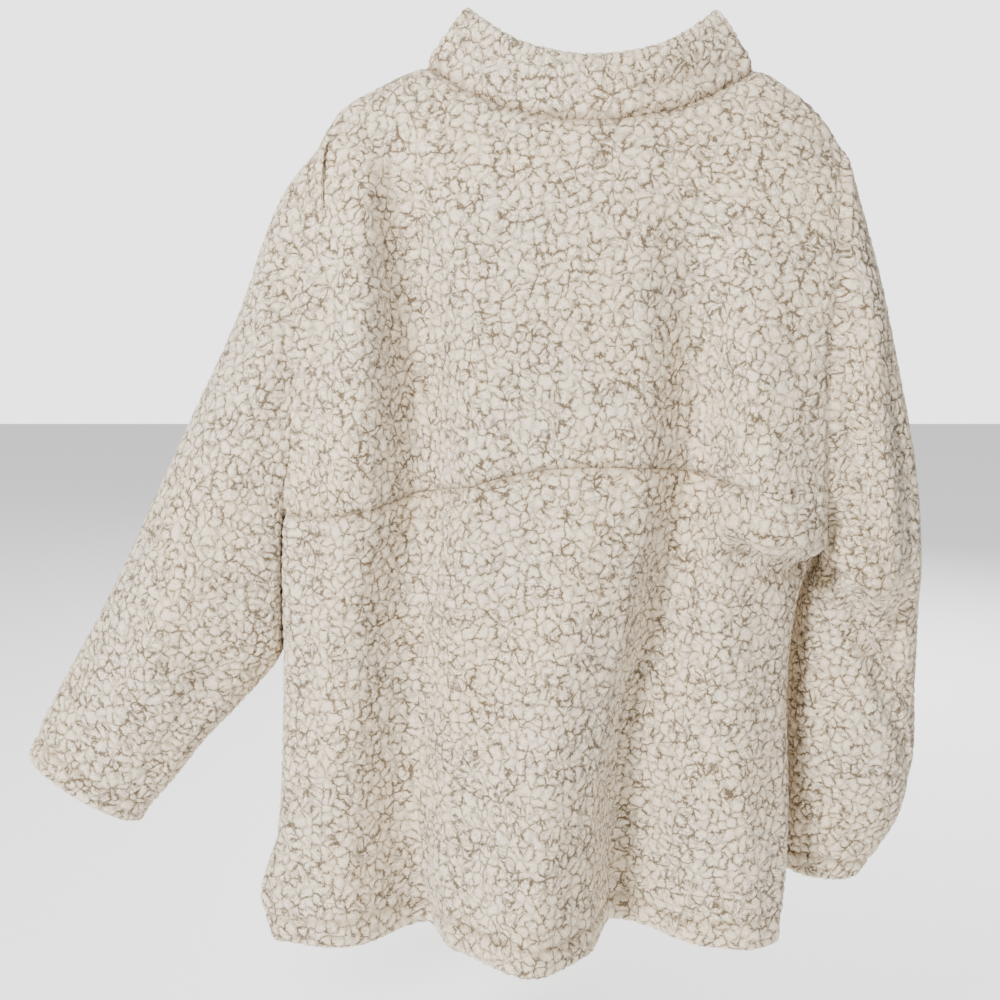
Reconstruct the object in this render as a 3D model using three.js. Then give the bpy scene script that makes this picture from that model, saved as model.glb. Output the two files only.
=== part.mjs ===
// A cream sherpa fleece pullover, hanging hollow from its neck and shoulders.
// The back and the front are each cut in two, an upper part in one with half of both sleeves and
// a lower part sewn on below the shoulder blades. The halves of the sleeves are solids of their
// own, parted from the upper parts along the armhole folds. A stand collar closes the neck seam.
// Millimetres. X runs across the garment, +Y is its front, +Z is up. The origin lies in the neck,
// level with the highest point of the shoulders.

import * as THREE from 'three';

// Cloth: curly pile on a knitted backing, doubled in the collar.
const WALL = 7;
const COLLAR_WALL = 10;
const SEAM_GAP = 0.3;
const HEM_TURN = 20;
const EVENING = 0.3;
const SEAM_PULL = 0.7 * SEAM_GAP;

// How finely the cloth is divided: columns across a panel, rows along it.
const BACK_COLUMNS = 46;
const FRONT_COLUMNS = 34;
const SHOULDER_COLUMNS = 6;
const SKIRT_ROWS = 9;
const GUSSET_ROWS = 6;
const YOKE_ROWS = 10;
const SLEEVE_STEPS = 21;
const COLLAR_ROWS = 4;

// The hem is level, and the underarm of the draped right sleeve is the higher one.
const HEM_Z = -705;
const UNDERARM_Z = { left: -477, right: -392 };

// The seam below the shoulder blades, from the left underarm to the right one.
const YOKE_SEAM = [
  { across: 0.0, z: -359 },
  { across: 0.15, z: -353 },
  { across: 0.3, z: -338 },
  { across: 0.48, z: -320 },
  { across: 0.66, z: -319 },
  { across: 0.85, z: -333 },
  { across: 1.0, z: -336 },
];

// Edges of the body panels: side seams up to the underarm, armhole creases above it.
const LEFT_BACK_EDGE = [
  { z: -705, x: -257, y: -26 },
  { z: -670, x: -265, y: -20 },
  { z: -625, x: -252, y: -12 },
  { z: -560, x: -247, y: -8 },
  { z: -477, x: -245, y: 2 },
  { z: -430, x: -243, y: -18 },
  { z: -359, x: -239, y: -34 },
  { z: -290, x: -223, y: -36 },
  { z: -210, x: -210, y: -34 },
  { z: -133, x: -204, y: -34 },
  { z: -95, x: -204, y: -31 },
  { z: -78, x: -204, y: -24 },
  { z: -69, x: -203, y: -14 },
];
const RIGHT_BACK_EDGE = [
  { z: -705, x: 155, y: -40 },
  { z: -650, x: 161, y: -28 },
  { z: -590, x: 163, y: -12 },
  { z: -500, x: 160, y: -8 },
  { z: -430, x: 168, y: 2 },
  { z: -392, x: 182, y: 6 },
  { z: -370, x: 182, y: -38 },
  { z: -336, x: 180, y: -58 },
  { z: -250, x: 186, y: -60 },
  { z: -160, x: 192, y: -50 },
  { z: -112, x: 195, y: -38 },
  { z: -92, x: 196, y: -26 },
  { z: -83, x: 196, y: -14 },
];
const LEFT_FRONT_EDGE = [
  { z: -477, x: -245, y: 2 },
  { z: -430, x: -240, y: 30 },
  { z: -340, x: -232, y: 46 },
  { z: -220, x: -214, y: 44 },
  { z: -130, x: -206, y: 30 },
  { z: -95, x: -205, y: 16 },
  { z: -78, x: -204, y: 0 },
  { z: -69, x: -203, y: -14 },
];
const RIGHT_FRONT_EDGE = [
  { z: -392, x: 182, y: 6 },
  { z: -360, x: 184, y: 36 },
  { z: -290, x: 186, y: 52 },
  { z: -200, x: 190, y: 48 },
  { z: -130, x: 194, y: 30 },
  { z: -106, x: 195, y: 14 },
  { z: -92, x: 196, y: -2 },
  { z: -83, x: 196, y: -14 },
];

// How far the panels stand out between their edges, and how square their sides are.
const BACK_FORM = [
  { z: -705, y: -58, square: 0.5 },
  { z: -560, y: -62, square: 0.55 },
  { z: -440, y: -64, square: 0.6 },
  { z: -340, y: -66, square: 0.8 },
];
const FRONT_FORM = [
  { z: -705, y: 84, square: 0.5 },
  { z: -560, y: 86, square: 0.5 },
  { z: -440, y: 86, square: 0.55 },
  { z: -340, y: 84, square: 0.7 },
];

// Shoulder seams and neck seam. The shoulder seam lies a little behind the ridge.
const LEFT_SHOULDER = [
  { x: -203, y: -14, z: -69 },
  { x: -193, y: -13, z: -50 },
  { x: -162, y: -11, z: -31 },
  { x: -128, y: -6, z: -15 },
];
const RIGHT_SHOULDER = [
  { x: 126, y: -6, z: -17 },
  { x: 145, y: -8, z: -28 },
  { x: 172, y: -12, z: -50 },
  { x: 196, y: -14, z: -83 },
];
const BACK_NECK = [
  { x: -128, y: -6, z: -15 },
  { x: -105, y: -20, z: -30 },
  { x: -70, y: -36, z: -47 },
  { x: -4, y: -49, z: -59 },
  { x: 64, y: -37, z: -49 },
  { x: 104, y: -19, z: -31 },
  { x: 126, y: -6, z: -17 },
];
const FRONT_NECK = [
  { x: -128, y: -6, z: -15 },
  { x: -118, y: 26, z: -32 },
  { x: -70, y: 66, z: -72 },
  { x: -4, y: 80, z: -92 },
  { x: 64, y: 66, z: -74 },
  { x: 114, y: 26, z: -34 },
  { x: 126, y: -6, z: -17 },
];

// Collar: its top edge leans inwards, and its height falls towards the middles.
const COLLAR = {
  sideHeight: 40,
  backHeight: 46,
  frontHeight: 50,
  lean: 0.78,
  backLean: 8,
  frontLean: 16,
  belly: 3,
  halfWidth: 128,
  sideY: -6,
  fullness: 0.7,
};

// Folds of the body panels. A row says where the fold lies at one height, how wide it is to its
// left and right, and how far it pushes the cloth in (or out, where it is negative).
const BACK_FOLDS = [
  {
    name: 'left valley',
    rows: [
      { z: -705, x: -131, left: 60, right: 22, push: 56 },
      { z: -620, x: -143, left: 55, right: 30, push: 34 },
      { z: -520, x: -148, left: 45, right: 34, push: 22 },
      { z: -430, x: -149, left: 40, right: 34, push: 18 },
      { z: -340, x: -142, left: 34, right: 34, push: 26 },
      { z: -230, x: -146, left: 32, right: 40, push: 26 },
      { z: -155, x: -148, left: 30, right: 40, push: 20 },
      { z: -66, x: -154, left: 24, right: 30, push: 4 },
    ],
  },
  {
    name: 'middle tube',
    rows: [
      { z: -705, x: -46, left: 74, right: 68, push: -54 },
      { z: -640, x: -44, left: 72, right: 66, push: -44 },
      { z: -540, x: -34, left: 70, right: 64, push: -32 },
      { z: -430, x: -18, left: 62, right: 60, push: -17 },
      { z: -335, x: -5, left: 55, right: 55, push: -5 },
      { z: -250, x: 0, left: 60, right: 60, push: 0 },
    ],
  },
  {
    name: 'right valley',
    rows: [
      { z: -705, x: 24, left: 24, right: 76, push: 57 },
      { z: -613, x: 26, left: 26, right: 66, push: 44 },
      { z: -533, x: 32, left: 28, right: 56, push: 34 },
      { z: -466, x: 39, left: 30, right: 52, push: 28 },
      { z: -401, x: 48, left: 34, right: 46, push: 24 },
      { z: -330, x: 60, left: 42, right: 40, push: 22 },
      { z: -220, x: 64, left: 50, right: 40, push: 16 },
      { z: -118, x: 73, left: 44, right: 40, push: 5 },
      { z: -66, x: 76, left: 40, right: 40, push: 0 },
    ],
  },
  {
    name: 'batwing ridge',
    rows: [
      { z: -402, x: 152, left: 30, right: 60, push: 0 },
      { z: -391, x: 148, left: 36, right: 64, push: -8 },
      { z: -378, x: 143, left: 38, right: 68, push: -24 },
      { z: -360, x: 139, left: 38, right: 72, push: -29 },
      { z: -318, x: 131, left: 38, right: 76, push: -25 },
      { z: -214, x: 113, left: 44, right: 80, push: -13 },
      { z: -120, x: 116, left: 50, right: 70, push: 0 },
    ],
  },
  {
    name: 'left ridge',
    rows: [
      { z: -705, x: -212, left: 30, right: 34, push: -4 },
      { z: -560, x: -205, left: 34, right: 34, push: -6 },
      { z: -345, x: -192, left: 34, right: 34, push: -10 },
      { z: -210, x: -180, left: 26, right: 30, push: -12 },
      { z: -120, x: -178, left: 22, right: 26, push: -8 },
      { z: -60, x: -172, left: 22, right: 26, push: 0 },
    ],
  },
  {
    name: 'right side ridge',
    rows: [
      { z: -705, x: 128, left: 34, right: 26, push: -8 },
      { z: -600, x: 120, left: 40, right: 34, push: -10 },
      { z: -480, x: 112, left: 36, right: 34, push: -7 },
      { z: -400, x: 100, left: 30, right: 30, push: 0 },
    ],
  },
];
const FRONT_FOLDS = [
  {
    name: 'left front valley',
    rows: [
      { z: -705, x: -150, left: 40, right: 50, push: 42 },
      { z: -560, x: -154, left: 40, right: 46, push: 26 },
      { z: -400, x: -158, left: 36, right: 42, push: 18 },
      { z: -230, x: -158, left: 30, right: 36, push: 12 },
      { z: -110, x: -160, left: 26, right: 30, push: 2 },
    ],
  },
  {
    name: 'front middle valley',
    rows: [
      { z: -705, x: -22, left: 46, right: 52, push: 30 },
      { z: -560, x: -16, left: 44, right: 50, push: 20 },
      { z: -400, x: -10, left: 40, right: 46, push: 9 },
      { z: -260, x: -6, left: 40, right: 46, push: 0 },
    ],
  },
  {
    name: 'right front valley',
    rows: [
      { z: -705, x: 88, left: 48, right: 30, push: 36 },
      { z: -560, x: 92, left: 44, right: 34, push: 24 },
      { z: -400, x: 100, left: 40, right: 36, push: 16 },
      { z: -230, x: 112, left: 36, right: 32, push: 12 },
      { z: -110, x: 124, left: 30, right: 30, push: 2 },
    ],
  },
];

// Rings of the sleeves. Each gives its outer and inner silhouette points, and how far its back
// and its front stand out between them.
const LEFT_SLEEVE = [
  { outX: -238, outZ: -112, inX: -250, inZ: -483, edgeY: 0, backY: -47, frontY: 48 },
  { outX: -276, outZ: -206, inX: -266, inZ: -503, edgeY: 4, backY: -50, frontY: 54 },
  { outX: -314, outZ: -284, inX: -289, inZ: -528, edgeY: 6, backY: -49, frontY: 56 },
  { outX: -352, outZ: -362, inX: -312, inZ: -552, edgeY: 8, backY: -46, frontY: 56 },
  { outX: -387, outZ: -432, inX: -334, inZ: -580, edgeY: 8, backY: -40, frontY: 52 },
  { outX: -418, outZ: -487, inX: -351, inZ: -600, edgeY: 8, backY: -34, frontY: 47 },
  { outX: -442, outZ: -530, inX: -360, inZ: -611, edgeY: 8, backY: -29, frontY: 43 },
  { outX: -457, outZ: -562, inX: -366, inZ: -620, edgeY: 8, backY: -27, frontY: 42 },
];
const RIGHT_SLEEVE = [
  { outX: 222, outZ: -167, inX: 186, inZ: -395, edgeY: 4, backY: -70, frontY: 56 },
  { outX: 241, outZ: -245, inX: 187, inZ: -400, edgeY: 8, backY: -73, frontY: 62 },
  { outX: 258, outZ: -322, inX: 186, inZ: -406, edgeY: 13, backY: -72, frontY: 66 },
  { outX: 267, outZ: -398, inX: 182, inZ: -416, edgeY: 18, backY: -66, frontY: 70 },
  { outX: 272, outZ: -455, inX: 175, inZ: -440, edgeY: 24, backY: -20, frontY: 74 },
  { outX: 273, outZ: -515, inX: 170, inZ: -478, edgeY: 27, backY: -14, frontY: 74 },
  { outX: 274, outZ: -573, inX: 168, inZ: -532, edgeY: 30, backY: -14, frontY: 74 },
  { outX: 266, outZ: -623, inX: 168, inZ: -590, edgeY: 36, backY: -8, frontY: 78 },
  { outX: 251, outZ: -655, inX: 167, inZ: -640, edgeY: 42, backY: 2, frontY: 82 },
  { outX: 236, outZ: -679, inX: 167, inZ: -670, edgeY: 46, backY: 10, frontY: 82 },
];

// Folds of the sleeves: from one place to another, each given by how far it lies along the sleeve
// and how far round from the underarm (0) over the back to the shoulder seam (1).
const LEFT_SLEEVE_FOLDS = [
  { name: 'long ridge', from: 0.1, to: 0.75, roundFrom: 0.62, roundTo: 0.5, width: 0.13, push: -7 },
  { name: 'elbow valley', from: 0.3, to: 0.8, roundFrom: 0.28, roundTo: 0.26, width: 0.12, push: 6 },
  { name: 'outer valley', from: 0.3, to: 0.95, roundFrom: 0.84, roundTo: 0.8, width: 0.1, push: 4 },
  { name: 'front valley', from: 0.1, to: 0.8, roundFrom: -0.55, roundTo: -0.45, width: 0.15, push: 7 },
];
const RIGHT_SLEEVE_FOLDS = [
  { name: 'outer valley', from: 0.12, to: 0.62, roundFrom: 0.7, roundTo: 0.66, width: 0.13, push: 11 },
  { name: 'elbow crease', from: 0.52, to: 0.76, roundFrom: 0.42, roundTo: 0.95, width: 0.1, push: 8 },
  { name: 'forearm valley', from: 0.6, to: 0.98, roundFrom: 0.3, roundTo: 0.35, width: 0.14, push: 5 },
  { name: 'front valley', from: 0.15, to: 0.7, roundFrom: -0.6, roundTo: -0.45, width: 0.14, push: 9 },
];

const CREAM = 0xcdc3b4;
const CREAM_DEEP = 0xc4b9a8;

const lerp = THREE.MathUtils.lerp;
const clamp = THREE.MathUtils.clamp;

// Smooth value of one column of a table, at a place along the column named by key.
function tableValue(table, key, column, at) {
  const last = table.length - 1;
  if (at <= table[0][key]) return table[0][column];
  if (at >= table[last][key]) return table[last][column];
  let i = 0;
  while (table[i + 1][key] < at) i += 1;
  const slope = (k) => {
    const a = table[Math.max(k - 1, 0)];
    const b = table[Math.min(k + 1, last)];
    return (b[column] - a[column]) / (b[key] - a[key]);
  };
  const span = table[i + 1][key] - table[i][key];
  const t = (at - table[i][key]) / span;
  const early = table[i][column] * (1 + 2 * t) * (1 - t) ** 2 + slope(i) * span * t * (1 - t) ** 2;
  const late = table[i + 1][column] * t * t * (3 - 2 * t) - slope(i + 1) * span * t * t * (1 - t);
  return early + late;
}

function edgePoint(edge, z) {
  return new THREE.Vector3(tableValue(edge, 'z', 'x', z), tableValue(edge, 'z', 'y', z), z);
}

// Sum of the folds' pushes at one place of a panel.
function foldPush(folds, x, z) {
  let push = 0;
  for (const { rows } of folds) {
    if (z < rows[0].z - 1 || z > rows[rows.length - 1].z) continue;
    const away = x - tableValue(rows, 'z', 'x', z);
    const width = tableValue(rows, 'z', away < 0 ? 'left' : 'right', z);
    if (Math.abs(away) >= width) continue;
    push += tableValue(rows, 'z', 'push', z) * 0.5 * (1 + Math.cos((Math.PI * away) / width));
  }
  return push;
}

// Evenly spaced points along a fine line of points, so that the cloth is divided evenly.
function spread(points, count) {
  const along = [0];
  for (let i = 1; i < points.length; i += 1) {
    along.push(along[i - 1] + points[i].distanceTo(points[i - 1]));
  }
  const total = along[along.length - 1];
  const result = [];
  let i = 0;
  for (let k = 0; k <= count; k += 1) {
    const at = (total * k) / count;
    while (i < points.length - 2 && along[i + 1] < at) i += 1;
    const t = (at - along[i]) / (along[i + 1] - along[i]);
    result.push(points[i].clone().lerp(points[i + 1], clamp(t, 0, 1)));
  }
  return result;
}

const FINE = 240;

// Shape of a panel: how fast its folds set in from its sides, how the cloth closes towards the
// shoulders, and how wide its sides are carried by the edges.
const SIDE_FADE = 4;
const CLOSING_POWER = 1.5;
const RISE_SHARE = 0.35;
const TOP_FADE = 3;
const SIDE_REACH = 7;

// One row of a panel below or at the yoke seam. down is 0 at the yoke seam, 1 at the underarms and
// 2 at the hem.
function lowRow(panel, down) {
  const seamZ = (across) => tableValue(YOKE_SEAM, 'across', 'z', across);
  const armZ = (across) => lerp(UNDERARM_Z.left, UNDERARM_Z.right, across * across * (3 - 2 * across));
  const rowZ = (across) => {
    if (down <= 1) return lerp(seamZ(across), armZ(across), down);
    return lerp(armZ(across), HEM_Z, down - 1);
  };
  const left = edgePoint(down < 1 ? panel.left : LEFT_BACK_EDGE, rowZ(0));
  const right = edgePoint(down < 1 ? panel.right : RIGHT_BACK_EDGE, rowZ(1));
  const points = [];
  for (let i = 0; i <= FINE; i += 1) {
    const angle = (Math.PI * i) / FINE;
    const across = (1 - Math.cos(angle)) / 2;
    const x = lerp(left.x, right.x, across);
    const z = rowZ(across);
    const base = lerp(left.y, right.y, across);
    const bulge = Math.sin(angle) ** tableValue(panel.form, 'z', 'square', z);
    const middle = tableValue(panel.form, 'z', 'y', z);
    const folds = panel.inwards * foldPush(panel.folds, x, z) * Math.min(1, SIDE_FADE * Math.sin(angle));
    points.push(new THREE.Vector3(x, lerp(base, middle, bulge) + folds, z));
  }
  return spread(points, panel.columns);
}

// The shoulder seams and the neck seam, as one row of the panel.
function topRow(panel) {
  const line = (table) => {
    const curve = new THREE.CatmullRomCurve3(table.map((p) => new THREE.Vector3(p.x, p.y, p.z)));
    return curve.getPoints(FINE);
  };
  const neckColumns = panel.columns - 2 * SHOULDER_COLUMNS;
  return [
    ...spread(line(LEFT_SHOULDER), SHOULDER_COLUMNS).slice(0, -1),
    ...spread(line(panel.neck), neckColumns),
    ...spread(line(RIGHT_SHOULDER), SHOULDER_COLUMNS).slice(1),
  ];
}

// Angle, in radians, that the cloth has turned over by when it reaches the shoulder seam.
const SHOULDER_TURN = 1.35;

// One row between the yoke seam and the shoulders. up is 0 at the seam and 1 at the shoulders.
function highRow(panel, seamRow, shoulderRow, up) {
  const rise = Math.sin(up * SHOULDER_TURN) / Math.sin(SHOULDER_TURN);
  const turned = (1 - Math.cos(up * SHOULDER_TURN)) / (1 - Math.cos(SHOULDER_TURN));
  const closing = turned ** CLOSING_POWER;
  const fadeNear = clamp((1 - up) * TOP_FADE, 0, 1);
  return seamRow.map((low, column) => {
    const high = shoulderRow[column];
    const z = lerp(low.z, high.z, rise);
    if (column === 0) return edgePoint(panel.left, z);
    if (column === panel.columns) return edgePoint(panel.right, z);
    const share = column / panel.columns;
    const fromSide = Math.min(share, 1 - share);
    const sideShape = clamp(1 - fromSide * SIDE_REACH, 0, 1) ** 2;
    const x = lerp(low.x, high.x, closing + (rise - closing) * RISE_SHARE);
    const lowY = low.y - panel.inwards * foldPush(panel.folds, low.x, low.z);
    const edge = edgePoint(share < 0.5 ? panel.left : panel.right, z);
    const y = lerp(lowY, high.y, closing) + panel.inwards * foldPush(panel.folds, x, z) * fadeNear;
    return new THREE.Vector3(x, lerp(y, edge.y, sideShape / 2), z);
  });
}

// Every point of the garment's outer face is kept once, so that pieces share their seams.
const points = [];
const walls = [];
const faces = [];
function addPoint(position, wall) {
  points.push(position);
  walls.push(wall);
  return points.length - 1;
}
function addQuad(piece, a, b, c, d) {
  const shortWay = points[a].distanceTo(points[c]) <= points[b].distanceTo(points[d]);
  const pair = shortWay ? [[a, b, c], [a, c, d]] : [[a, b, d], [b, c, d]];
  for (const corners of pair) {
    if (new Set(corners).size === 3) faces.push({ piece, corners });
  }
}

const PANELS = {
  back: {
    upper: 'upper_back',
    lower: 'lower_back',
    columns: BACK_COLUMNS,
    left: LEFT_BACK_EDGE,
    right: RIGHT_BACK_EDGE,
    form: BACK_FORM,
    folds: BACK_FOLDS,
    neck: BACK_NECK,
    inwards: 1,
  },
  front: {
    upper: 'upper_front',
    lower: 'lower_front',
    columns: FRONT_COLUMNS,
    left: LEFT_FRONT_EDGE,
    right: RIGHT_FRONT_EDGE,
    form: FRONT_FORM,
    folds: FRONT_FOLDS,
    neck: FRONT_NECK,
    inwards: -1,
  },
};

const UNDERARM_ROW = SKIRT_ROWS + 1;
const SEAM_ROW = UNDERARM_ROW + GUSSET_ROWS;
const TOP_ROW = SEAM_ROW + YOKE_ROWS;

// Rows of positions from the hem up. The second row is the hem's stitching.
function panelRows(panel) {
  const stitch = 2 - HEM_TURN / (UNDERARM_Z.left - HEM_Z);
  const rows = [lowRow(panel, 2)];
  for (let i = 0; i < SKIRT_ROWS; i += 1) rows.push(lowRow(panel, lerp(stitch, 1, i / SKIRT_ROWS)));
  for (let i = 0; i <= GUSSET_ROWS; i += 1) rows.push(lowRow(panel, 1 - i / GUSSET_ROWS));
  const shoulders = topRow(panel);
  const seam = rows[SEAM_ROW];
  for (let i = 1; i < YOKE_ROWS; i += 1) rows.push(highRow(panel, seam, shoulders, i / YOKE_ROWS));
  rows.push(shoulders);
  return rows;
}

// The back is laid out first, and the front shares its side seams and shoulder seams.
function addPanel(panel, partner) {
  const grid = panelRows(panel).map((row, r) => row.map((position, column) => {
    const fromRight = panel.columns - column;
    const atSide = Math.min(column, fromRight) === 0 && r <= UNDERARM_ROW;
    const atShoulder = r === TOP_ROW && Math.min(column, fromRight) <= SHOULDER_COLUMNS;
    if (partner && (atSide || atShoulder)) {
      return partner[r][column <= SHOULDER_COLUMNS ? column : partner[r].length - 1 - fromRight];
    }
    return addPoint(position, WALL);
  }));
  for (let r = 0; r < TOP_ROW; r += 1) {
    for (let c = 0; c < panel.columns; c += 1) {
      const corners = [grid[r][c], grid[r][c + 1], grid[r + 1][c + 1], grid[r + 1][c]];
      if (panel.inwards < 0) corners.reverse();
      addQuad(r < SEAM_ROW ? panel.lower : panel.upper, ...corners);
    }
  }
  return grid;
}
const back = addPanel(PANELS.back, null);
const front = addPanel(PANELS.front, back);

// How square the sleeves' sections are, and how evenly their folds fade towards both ends.
const SLEEVE_SQUARE = 0.85;
const FOLD_FADE = 0.6;

// Position on a ring of the sleeve: round goes from the underarm (0) over the back to the
// shoulder (1), and on over the front to the underarm again (2).
function ringPoint(ring, round) {
  const angle = Math.PI * round;
  const share = (1 - Math.cos(angle)) / 2;
  const reach = Math.abs(Math.sin(angle)) ** SLEEVE_SQUARE;
  const far = round <= 1 ? ring.backY : ring.frontY;
  return new THREE.Vector3(
    lerp(ring.inX, ring.outX, share),
    lerp(ring.edgeY, far, reach),
    lerp(ring.inZ, ring.outZ, share),
  );
}

function sleeveFoldPush(folds, along, round) {
  let push = 0;
  for (const fold of folds) {
    const t = (along - fold.from) / (fold.to - fold.from);
    if (t <= 0 || t >= 1) continue;
    const signed = round <= 1 ? round : round - 2;
    const away = signed - lerp(fold.roundFrom, fold.roundTo, t);
    if (Math.abs(away) >= fold.width) continue;
    const bell = 0.5 * (1 + Math.cos((Math.PI * away) / fold.width));
    push += fold.push * Math.sin(Math.PI * t) ** FOLD_FADE * bell;
  }
  return push;
}

function addSleeve(rings, folds, side) {
  const column = (panelGrid, r) => panelGrid[r][side === 'left' ? 0 : panelGrid[r].length - 1];
  const armhole = [];
  for (let r = UNDERARM_ROW; r <= TOP_ROW; r += 1) armhole.push(column(back, r));
  for (let r = TOP_ROW - 1; r > UNDERARM_ROW; r -= 1) armhole.push(column(front, r));
  const around = armhole.length;
  const half = around / 2;
  const tracks = armhole.map((start, k) => {
    const track = [points[start], ...rings.map((ring) => ringPoint(ring, k / half))];
    return new THREE.CatmullRomCurve3(track, false, 'centripetal');
  });
  let previous = armhole;
  for (let step = 1; step <= SLEEVE_STEPS; step += 1) {
    const along = step / SLEEVE_STEPS;
    const current = tracks.map((track, k) => {
      const position = track.getPoint(along);
      const push = sleeveFoldPush(folds, along, k / half);
      position.y += k <= half ? push : -push;
      return addPoint(position, WALL);
    });
    for (let k = 0; k < around; k += 1) {
      const next = (k + 1) % around;
      const corners = [previous[k], previous[next], current[next], current[k]];
      if (side === 'right') corners.reverse();
      addQuad(`${side}_sleeve_${k < half ? 'back' : 'front'}`, ...corners);
    }
    previous = current;
  }
}
addSleeve(LEFT_SLEEVE, LEFT_SLEEVE_FOLDS, 'left');
addSleeve(RIGHT_SLEEVE, RIGHT_SLEEVE_FOLDS, 'right');

// The collar stands on the neck seam, from the left shoulder over the back and round the front.
function addCollar() {
  const backNeck = back[TOP_ROW].slice(SHOULDER_COLUMNS, BACK_COLUMNS - SHOULDER_COLUMNS + 1);
  const frontNeck = front[TOP_ROW].slice(SHOULDER_COLUMNS, FRONT_COLUMNS - SHOULDER_COLUMNS + 1);
  const base = [...backNeck, ...frontNeck.slice(1, -1).reverse()];
  let previous = base;
  for (let row = 1; row <= COLLAR_ROWS; row += 1) {
    const up = row / COLLAR_ROWS;
    const current = base.map((index) => {
      const foot = points[index];
      const middle = clamp(1 - Math.abs(foot.x) / COLLAR.halfWidth, 0, 1) ** COLLAR.fullness;
      const atBack = foot.y < COLLAR.sideY;
      const height = lerp(COLLAR.sideHeight, atBack ? COLLAR.backHeight : COLLAR.frontHeight, middle);
      const lean = (atBack ? COLLAR.backLean : -COLLAR.frontLean) * middle;
      const belly = COLLAR.belly * Math.sin(Math.PI * up) * (atBack ? -1 : 1) * middle;
      const x = foot.x * lerp(1, COLLAR.lean, up);
      const place = new THREE.Vector3(x, foot.y + lean * up + belly, foot.z + height * up);
      return addPoint(place, lerp(WALL, COLLAR_WALL, up));
    });
    for (let k = 0; k < base.length; k += 1) {
      const next = (k + 1) % base.length;
      addQuad('collar', previous[k], previous[next], current[next], current[k]);
    }
    previous = current;
  }
}
addCollar();

// Outward direction at every point, from the faces around it.
const normals = points.map(() => new THREE.Vector3());
for (const { corners } of faces) {
  const [a, b, c] = corners.map((index) => points[index]);
  const across = b.clone().sub(a).cross(c.clone().sub(a));
  for (const index of corners) normals[index].add(across);
}
normals.forEach((normal) => normal.normalize());

// The cloth's inside is rounder than its outside, so the directions are evened out for it.
const evened = normals.map((normal) => normal.clone());
for (const { corners } of faces) {
  for (const index of corners) {
    for (const other of corners) evened[index].addScaledVector(normals[other], EVENING);
  }
}
evened.forEach((normal) => normal.normalize());

// One piece of cloth: its outer faces, the same faces moved in by the wall, and its edges.
function pieceGeometry(name) {
  const own = faces.filter((face) => face.piece === name);
  const shared = new Set(faces.filter((face) => face.piece !== name).flatMap((face) => face.corners));
  const number = new Map();
  for (const { corners } of own) {
    for (const index of corners) if (!number.has(index)) number.set(index, number.size);
  }
  const pull = new Map([...number.keys()].map((index) => [index, new THREE.Vector3()]));
  for (const { corners } of own) {
    const centre = new THREE.Vector3();
    for (const index of corners) centre.addScaledVector(points[index], 1 / 3);
    for (const index of corners) pull.get(index).add(centre.clone().sub(points[index]));
  }
  const outer = [];
  const inner = [];
  for (const index of number.keys()) {
    const move = new THREE.Vector3();
    if (shared.has(index)) {
      move.copy(pull.get(index)).projectOnPlane(normals[index]).setLength(SEAM_PULL);
    }
    const place = points[index].clone().add(move);
    outer.push(place);
    inner.push(place.clone().addScaledVector(evened[index], -walls[index]));
  }
  const count = number.size;
  const triangles = [];
  const edges = new Map();
  for (const { corners } of own) {
    const [a, b, c] = corners.map((index) => number.get(index));
    triangles.push(a, b, c, a + count, c + count, b + count);
    for (const [from, to] of [[a, b], [b, c], [c, a]]) {
      if (!edges.delete(`${to},${from}`)) edges.set(`${from},${to}`, [from, to]);
    }
  }
  const keys = [...number.keys()];
  for (const [from, to] of edges.values()) {
    // Pieces that meet here split the edge along the same diagonal.
    if (keys[from] < keys[to]) triangles.push(to, from, to + count, from, from + count, to + count);
    else triangles.push(to, from, from + count, to, from + count, to + count);
  }
  const geometry = new THREE.BufferGeometry();
  const flat = [...outer, ...inner].flatMap((p) => p.toArray());
  geometry.setAttribute('position', new THREE.Float32BufferAttribute(flat, 3));
  geometry.setIndex(triangles);
  return geometry;
}

const pullover = new THREE.Group();
const COLOURS = {
  upper_back: CREAM,
  lower_back: CREAM_DEEP,
  upper_front: CREAM,
  lower_front: CREAM_DEEP,
  left_sleeve_back: CREAM,
  left_sleeve_front: CREAM,
  right_sleeve_back: CREAM,
  right_sleeve_front: CREAM,
  collar: CREAM,
};
for (const [name, color] of Object.entries(COLOURS)) {
  const material = new THREE.MeshStandardMaterial({ color, roughness: 0.95, metalness: 0 });
  const mesh = new THREE.Mesh(pieceGeometry(name), material);
  mesh.name = name;
  pullover.add(mesh);
}

export default pullover;
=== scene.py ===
import math

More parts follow.
